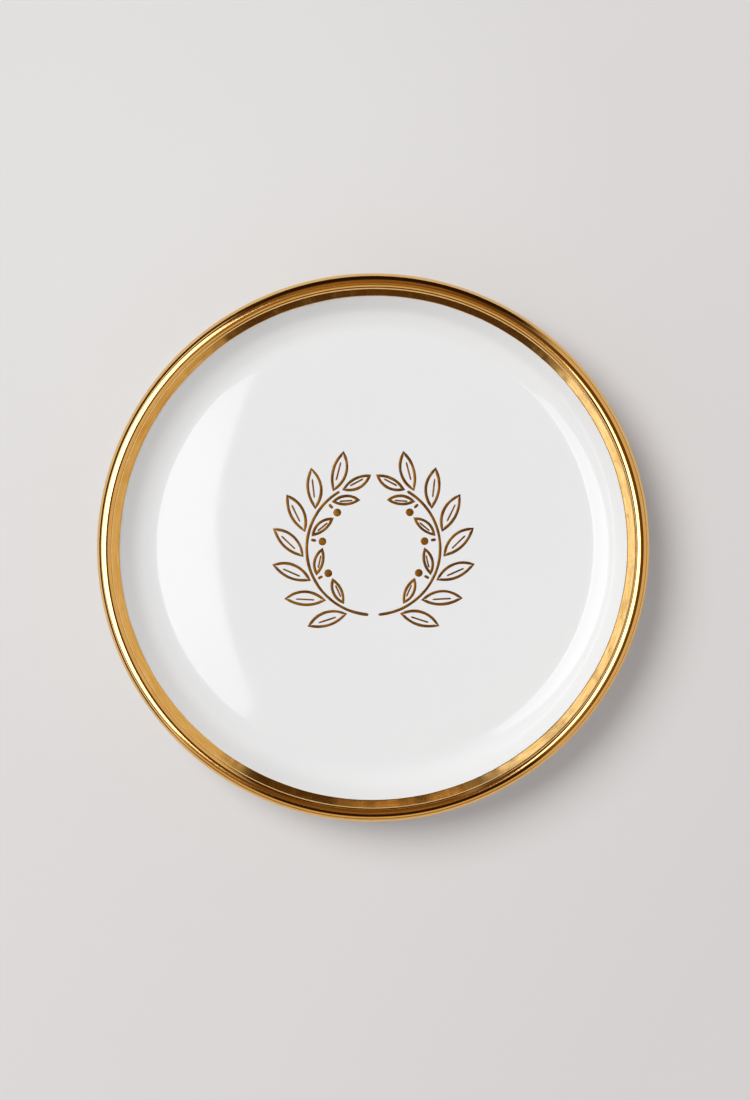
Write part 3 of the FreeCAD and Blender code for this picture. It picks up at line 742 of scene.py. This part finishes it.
# Painted bounce light: the floor colour is lighter close beside the dish on the key side.
beside = add_node(tree, "ShaderNodeVectorMath", {"operation": "DISTANCE"}, i0=place, i1=BESIDE)
bright = remap(tree, beside.outputs["Value"], *BESIDE_SPAN, PAINTED_BOUNCE_SHARE, 0.0)
tree.links.new(blend_colours(tree, bright, painted_falloff, PAINTED_BOUNCE_COLOUR), shader.inputs["Base Color"])
table_corners = [(-TABLE_HALF, -TABLE_HALF, 0), (TABLE_HALF, -TABLE_HALF, 0),
                 (TABLE_HALF, TABLE_HALF, 0), (-TABLE_HALF, TABLE_HALF, 0)]
tabletop = flat_sheet("tabletop", table_corners, table_finish)


def aimed(tilt, azimuth):
    """The direction at a tilt from upright, towards an azimuth."""
    return Vector((math.sin(tilt) * math.cos(azimuth), math.sin(tilt) * math.sin(azimuth), math.cos(tilt)))


# Camera: almost straight above the dish, a little towards its top; its sensor spans the frame's height.
CAMERA_DISTANCE = 0.50
CAMERA_TILT = math.radians(7.3)
CAMERA_AZIMUTH = math.radians(102.0)
FRAME_HEIGHT = 219.0 * MM
AIM = Vector((0.2 * MM, 0.22 * MM, LIP_Z))
camera_data = bpy.data.cameras.new("camera")
camera_data.sensor_width = 36.0
camera_data.lens = camera_data.sensor_width * CAMERA_DISTANCE / FRAME_HEIGHT
camera = bpy.data.objects.new("camera", camera_data)
lean = aimed(CAMERA_TILT, CAMERA_AZIMUTH)
camera.location = AIM + CAMERA_DISTANCE * lean
camera_right = Vector((0, 1, 0)).cross(lean).normalized()
camera_up = lean.cross(camera_right)
camera.rotation_euler = Matrix((camera_right, camera_up, lean)).transposed().to_euler()
scene.collection.objects.link(camera)
scene.camera = camera

# Key: a soft sun from the upper left that gives the shading and the shadow.
KEY_AZIMUTH = math.radians(139.0)
KEY_TILT = math.radians(43.0)
key_data = bpy.data.lights.new("key", "SUN")
key_data.energy = 2.07
key_data.angle = math.radians(35.0)
key = bpy.data.objects.new("key", key_data)
key.rotation_euler = aimed(KEY_TILT, KEY_AZIMUTH).to_track_quat("Z", "Y").to_euler()
key.visible_glossy = False
scene.collection.objects.link(key)


def soft(value, low, high):
    """A smooth step from 0 at low to 1 at high."""
    share = min(1.0, max(0.0, (value - low) / (high - low)))
    return share * share * (3 - 2 * share)


# Cards: sheets that only gloss shows. Each of their points has a glow.
CARD_GLOW = 4.5
WHITE_GLOW = (1.0, 1.0, 1.0, 1)
WARM_GLOW = (1.0, 0.66, 0.32, 1)
BLACK_GLOW = (0.005, 0.002, 0.0004, 1)


def glow_finish(name, colour):
    """A card's finish: it shines where its glow attribute is high, and is clear where that is low."""
    material = bpy.data.materials.new(name)
    material.use_nodes = True
    tree = material.node_tree
    tree.nodes.clear()
    share = add_node(tree, "ShaderNodeAttribute", {"attribute_name": "glow"}).outputs["Fac"]
    level = math_node(tree, "MULTIPLY", share, CARD_GLOW)
    emission = add_node(tree, "ShaderNodeEmission", None, Color=colour, Strength=level).outputs[0]
    clear = tree.nodes.new("ShaderNodeBsdfTransparent").outputs[0]
    shine = add_node(tree, "ShaderNodeMixShader", None, i0=share, i1=clear, i2=emission)
    add_node(tree, "ShaderNodeOutputMaterial", None, Surface=shine.outputs[0])
    return material


def glow_card(name, colour, spots, glows, columns):
    """A card from its points, row after row, with the glow of each; columns are the faces in a row."""
    wide = columns + 1
    faces = []
    for here in range(wide, len(spots)):
        if here % wide:
            faces.append((here, here - 1, here - wide - 1, here - wide))
    mesh = bpy.data.meshes.new(name)
    mesh.from_pydata(spots, [], faces)
    mesh.attributes.new("glow", "FLOAT", "POINT").data.foreach_set("value", glows)
    mesh.materials.append(glow_finish(name, colour))
    card = bpy.data.objects.new(name, mesh)
    scene.collection.objects.link(card)
    return card


# Softbox: a level card to the left, in degrees. Its near edge is an arc, as the dish floor shows it.
BOX_HEIGHT = 1.0
BOX_FADE = 0.14
FADE_SPAN = (8.5, 14.0)
END_SHARE = 0.80
MIDDLE_RISE = (120.0, 155.0)
MIDDLE_FALL = (195.0, 235.0)
BOX_START = 90.0
BOX_TURN = 180.0
BOX_MIDDLE = 174.0
BOX_HALF = 62.0
BOX_NARROWS = 8.0
NARROW_SPAN = (7.7, 10.0)
BOX_BLUR = 5.0
FAR_MIDDLE = 52.0
FAR_END = 14.0
FAR_BLUR = 5.0
BOX_REACH = math.tan(math.radians(56.0))
EDGE_CENTRE = (42.0 * MM, 1.0 * MM)
EDGE_RADIUS = 73.2 * MM
EDGE_SOFT = 0.45 * MM
AZIMUTH_STEPS = 120
POLAR_STEPS = 420
mirrored = Vector((camera.location.x, camera.location.y, 2 * FLOOR - camera.location.z))
towards_floor = (FLOOR - mirrored.z) / (BOX_HEIGHT - mirrored.z)
card_x = mirrored.x - mirrored.x / towards_floor
card_y = mirrored.y - mirrored.y / towards_floor


def box_glow(azimuth, polar, x, y):
    """Glow of the softbox at one of its points. The angles are about the axis through the point that the
    middle of the dish floor mirrors, and the polar one is seen from as far below it as the card is high."""
    seen = (mirrored.x + (x - mirrored.x) * towards_floor, mirrored.y + (y - mirrored.y) * towards_floor)
    near = soft(math.dist(seen, EDGE_CENTRE) - EDGE_RADIUS, -EDGE_SOFT, EDGE_SOFT)
    aside = abs(azimuth - BOX_MIDDLE)
    half = BOX_HALF - BOX_NARROWS * soft(polar, *NARROW_SPAN)
    window = 1 - soft(aside, half - BOX_BLUR, half)
    far = FAR_MIDDLE - (FAR_MIDDLE - FAR_END) * (aside / BOX_HALF) ** 2
    middle = soft(azimuth, *MIDDLE_RISE) * (1 - soft(azimuth, *MIDDLE_FALL))
    level = END_SHARE + (1 - END_SHARE) * middle
    level *= 1 - BOX_FADE * soft(polar, *FADE_SPAN)
    return near * window * level * (1 - soft(polar, far - FAR_BLUR, far))


spots = []
glows = []
for row in range(POLAR_STEPS + 1):
    reach = BOX_REACH * (row / POLAR_STEPS) ** 2
    polar = math.degrees(math.atan(reach))
    for column in range(AZIMUTH_STEPS + 1):
        azimuth = BOX_START + BOX_TURN * column / AZIMUTH_STEPS
        x, y = on_circle((card_x, card_y), BOX_HEIGHT * reach, math.radians(azimuth))
        spots.append((x, y, BOX_HEIGHT))
        glows.append(box_glow(azimuth, polar, x, y))
softbox = glow_card("softbox", WHITE_GLOW, spots, glows, AZIMUTH_STEPS)

# Strips: cards bent round the dish axis, one at the left and a close one at the back.
STRIP_EDGE = 0.35
STRIP_COLUMNS = 96
STRIP_ROWS = 18


def strip_card(name, colour, low, high, middle, reach, blur, share=1.0, slant=0.0):
    """A strip between two edges, each a radius and a height. It reaches so many degrees either way from its
    middle, with ends that blur, and slant is its rise for each degree."""
    spots = []
    glows = []
    for row in range(STRIP_ROWS + 1):
        up = row / STRIP_ROWS
        radius = low[0] + (high[0] - low[0]) * up
        height = low[1] + (high[1] - low[1]) * up
        for column in range(STRIP_COLUMNS + 1):
            aside = reach * (2 * column / STRIP_COLUMNS - 1)
            x, y = on_circle((0, 0), radius, math.radians(middle + aside))
            spots.append((x, y, height + slant * aside))
            fade = 1 - soft(abs(aside), reach - blur, reach)
            glows.append(share * fade * (1 - soft(abs(2 * up - 1), 1 - STRIP_EDGE, 1)))
    return glow_card(name, colour, spots, glows, STRIP_COLUMNS)


left_strip = strip_card("left_strip", WHITE_GLOW, low=(0.25, 0.125), high=(0.25, 0.179),
                        middle=177.0, reach=64.0, blur=16.0, share=0.54, slant=-0.65 * MM)
back_strip = strip_card("back_strip", WARM_GLOW, low=(0.094, 0.093), high=(0.094, 0.105),
                        middle=93.0, reach=34.0, blur=16.0, share=0.45)

# Flags: level black cards close beyond the rim, in front and at the back, that draw dark lines on the lip.
FLAG_HEIGHT = 0.060
front_flag = strip_card("front_flag", BLACK_GLOW, low=(0.057, FLAG_HEIGHT), high=(0.088, FLAG_HEIGHT),
                        middle=-83.0, reach=38.0, blur=12.0)
back_flag = strip_card("back_flag", BLACK_GLOW, low=(0.063, FLAG_HEIGHT), high=(0.255, FLAG_HEIGHT),
                       middle=84.0, reach=43.0, blur=14.0)

# Bounce card: a low warm card that stands in front of the dish.
BOUNCE_NEAR = -0.16
BOUNCE_HALF = 0.15
BOUNCE_TOP = 0.045
BOUNCE_COLOUR = (0.60, 0.43, 0.22, 1)
bounce_finish = bpy.data.materials.new("bounce_card")
bounce_finish.use_nodes = True
tree = bounce_finish.node_tree
tree.nodes.clear()
shine = add_node(tree, "ShaderNodeEmission", None, Color=BOUNCE_COLOUR)
add_node(tree, "ShaderNodeOutputMaterial", None, Surface=shine.outputs[0])
bounce_corners = [(-BOUNCE_HALF, BOUNCE_NEAR, 0), (BOUNCE_HALF, BOUNCE_NEAR, 0),
                  (BOUNCE_HALF, BOUNCE_NEAR, BOUNCE_TOP), (-BOUNCE_HALF, BOUNCE_NEAR, BOUNCE_TOP)]
bounce = flat_sheet("bounce_card", bounce_corners, bounce_finish)
for hidden in (softbox, left_strip, back_strip, front_flag, back_flag, bounce):
    hidden.visible_camera = False
    hidden.visible_diffuse = False
    hidden.visible_shadow = False
    hidden.visible_transmission = False

# World: grey for the shading, and for the gloss four sides with a brightness at each angle from straight up.
AMBIENT = 0.44
FILL_AZIMUTH = math.radians(-70.0)
FILL_LEAN = 0.50
BACKGROUND = (0.74, 0.74, 0.74, 1)
SIDES = {
    "right": [(0, 0.16), (26, 0.07), (33, 0.80), (41, 0.66), (62, 0.70), (70, 0.72), (78, 0.50), (90, 0.42)],
    "far": [(0, 0.26), (5, 0.31), (11, 0.27), (20, 0.18), (46, 0.15), (57, 0.08), (64, 0.05), (90, 0.04)],
    "left": [(0, 0.20), (12, 0.15), (60, 0.09), (90, 0.07)],
    "near": [(0, 0.28), (10, 0.34), (21, 0.42), (26, 0.15), (33, 0.13), (38, 0.55), (62, 0.74), (66, 0.07),
             (90, 0.06)],
}

# Which side shows at which azimuth in degrees; red, green and blue pick a side other than the right one.
PICK = {"right": (0, 0, 0), "far": (1, 0, 0), "left": (0, 1, 0), "near": (0, 0, 1)}
SECTORS = [(-180, "left"), (-136, "left"), (-124, "near"), (-61, "near"), (-53, "right"), (48, "right"),
           (56, "far"), (110, "far"), (118, "left"), (180, "left")]

# Warmth of the studio: between these levels it goes from brown to white, green before blue.
DARK_LEVEL = 0.05
LEVEL_SPAN = 0.85
DARK_GREEN = 0.45
GREEN_POWER = 1.4
DARK_BLUE = 0.12
BLUE_POWER = 2.8


def warmed(level):
    """The colour of a brightness: white where it is bright, brown in the dark."""
    share = min(1.0, max(0.0, (level - DARK_LEVEL) / LEVEL_SPAN))
    green = DARK_GREEN + (1 - DARK_GREEN) * share ** GREEN_POWER
    blue = DARK_BLUE + (1 - DARK_BLUE) * share ** BLUE_POWER
    return level, level * green, level * blue


def ramp(tree, value, stops):
    """A colour ramp over a value from 0 to 1, with its stops as positions and colours."""
    node = add_node(tree, "ShaderNodeValToRGB", None, i0=value)
    elements = node.color_ramp.elements
    while len(elements) < len(stops):
        elements.new(0.5)
    for element, (position, colour) in zip(elements, stops):
        element.position = position
        element.color = (*colour, 1.0)
    return node.outputs[0]


world = bpy.data.worlds.new("studio")
world.use_nodes = True
scene.world = world
tree = world.node_tree
direction = tree.nodes.new("ShaderNodeTexCoord").outputs["Generated"]
x, y, z = add_node(tree, "ShaderNodeSeparateXYZ", None, i0=direction).outputs
polar = math_node(tree, "DIVIDE", math_node(tree, "ARCCOSINE", z), math.pi / 2)
turn = math_node(tree, "DIVIDE", math_node(tree, "ARCTAN2", y, x), 2 * math.pi)
turn = math_node(tree, "ADD", turn, 0.5)
chosen = ramp(tree, turn, [((degrees + 180) / 360, PICK[side]) for degrees, side in SECTORS])
weights = add_node(tree, "ShaderNodeSeparateColor", None, i0=chosen).outputs
glow_of = {}
for side, stops in SIDES.items():
    glow_of[side] = ramp(tree, polar, [(degrees / 90, warmed(level)) for degrees, level in stops])
glow = glow_of["right"]
for weight, side in zip(weights, ("far", "left", "near")):
    glow = blend_colours(tree, weight, glow, glow_of[side])
to_fill = (math.cos(FILL_AZIMUTH) * FILL_LEAN, math.sin(FILL_AZIMUTH) * FILL_LEAN, 0)
facing = add_node(tree, "ShaderNodeVectorMath", {"operation": "DOT_PRODUCT"}, i0=direction, i1=to_fill)
shade = math_node(tree, "MULTIPLY", math_node(tree, "ADD", facing.outputs["Value"], 1.0), AMBIENT)
rays = tree.nodes.new("ShaderNodeLightPath")
grey = blend_colours(tree, rays.outputs["Is Camera Ray"], shade, BACKGROUND)
seen = blend_colours(tree, rays.outputs["Is Glossy Ray"], grey, glow)
tree.links.new(seen, tree.nodes["Background"].inputs["Color"])
